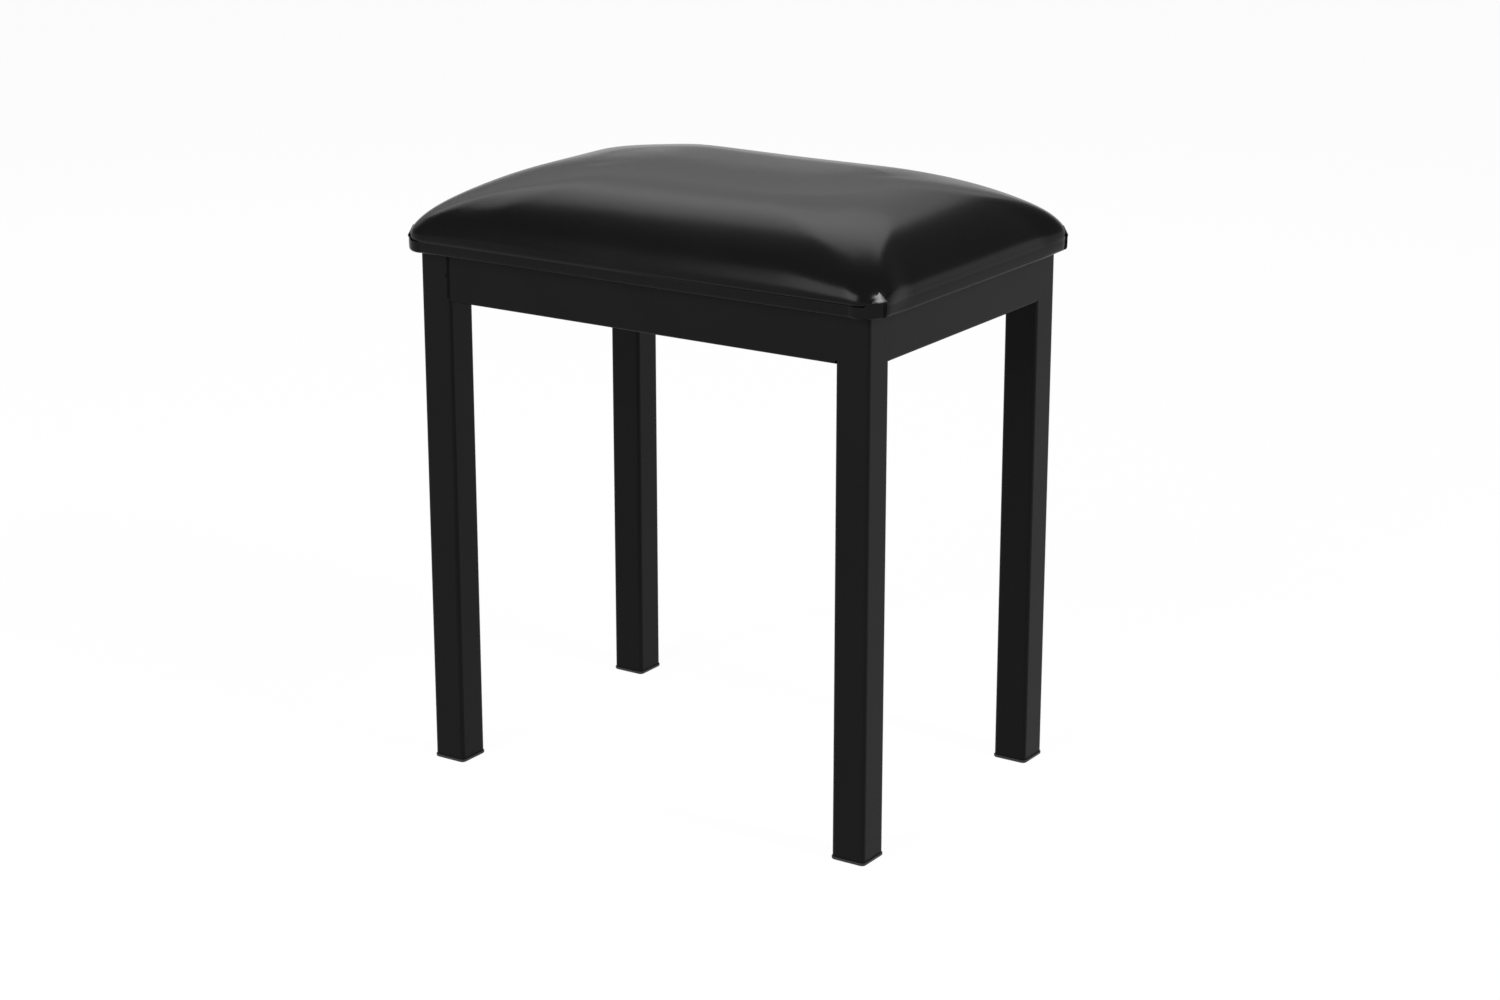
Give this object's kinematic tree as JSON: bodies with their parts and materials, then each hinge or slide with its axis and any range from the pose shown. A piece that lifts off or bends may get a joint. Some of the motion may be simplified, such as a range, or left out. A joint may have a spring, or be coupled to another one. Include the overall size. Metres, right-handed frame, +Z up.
{
  "type": "keyboard bench",
  "caption": "Fixed-height bench for a keyboard player: a crowned vinyl pad on a rectangular steel tube frame with straight square legs and plastic foot caps.",
  "frame": {"origin": "on the floor under the middle of the bench", "axes": "+X along the long side, +Y from the front to the back, +Z up"},
  "size_m": [0.4638, 0.3248, 0.5142],
  "materials": {
    "frame_steel": "satin",
    "cap_plastic": "matte",
    "zinc_fasteners": "satin",
    "seat_plywood": "matte",
    "seat_foam": "matte",
    "seat_vinyl": "satin",
    "dust_cloth": "matte"
  },
  "bodies": {
    "root": {"dust_cover": "dust_cloth", "foot_cap_back_left": "cap_plastic", "foot_cap_back_right": "cap_plastic", "foot_cap_front_left": "cap_plastic", "foot_cap_front_right": "cap_plastic", "leg_back_left": "frame_steel", "leg_back_right": "frame_steel", "leg_front_left": "frame_steel", "leg_front_right": "frame_steel", "rail_back": "frame_steel", "rail_bolt_back_left_far": "zinc_fasteners", "rail_bolt_back_left_near": "zinc_fasteners", "rail_bolt_back_right_far": "zinc_fasteners", "rail_bolt_back_right_near": "zinc_fasteners", "rail_bolt_front_left_far": "zinc_fasteners", "rail_bolt_front_left_near": "zinc_fasteners", "rail_bolt_front_right_far": "zinc_fasteners", "rail_bolt_front_right_near": "zinc_fasteners", "rail_bracket_back_left": "frame_steel", "rail_bracket_back_right": "frame_steel", "rail_bracket_front_left": "frame_steel", "rail_bracket_front_right": "frame_steel", "rail_front": "frame_steel", "rail_insert_back_left_far": "zinc_fasteners", "rail_insert_back_left_near": "zinc_fasteners", "rail_insert_back_right_far": "zinc_fasteners", "rail_insert_back_right_near": "zinc_fasteners", "rail_insert_front_left_far": "zinc_fasteners", "rail_insert_front_left_near": "zinc_fasteners", "rail_insert_front_right_far": "zinc_fasteners", "rail_insert_front_right_near": "zinc_fasteners", "rail_left": "frame_steel", "rail_right": "frame_steel", "seat_board": "seat_plywood", "seat_bolt_back_left": "zinc_fasteners", "seat_bolt_back_right": "zinc_fasteners", "seat_bolt_front_left": "zinc_fasteners", "seat_bolt_front_right": "zinc_fasteners", "seat_cover": "seat_vinyl", "seat_foam": "seat_foam", "seat_tab_back_left": "frame_steel", "seat_tab_back_right": "frame_steel", "seat_tab_front_left": "frame_steel", "seat_tab_front_right": "frame_steel", "seat_washer_back_left": "zinc_fasteners", "seat_washer_back_right": "zinc_fasteners", "seat_washer_front_left": "zinc_fasteners", "seat_washer_front_right": "zinc_fasteners", "tee_nut_back_left": "zinc_fasteners", "tee_nut_back_right": "zinc_fasteners", "tee_nut_front_left": "zinc_fasteners", "tee_nut_front_right": "zinc_fasteners"}
  },
  "joints": []
}
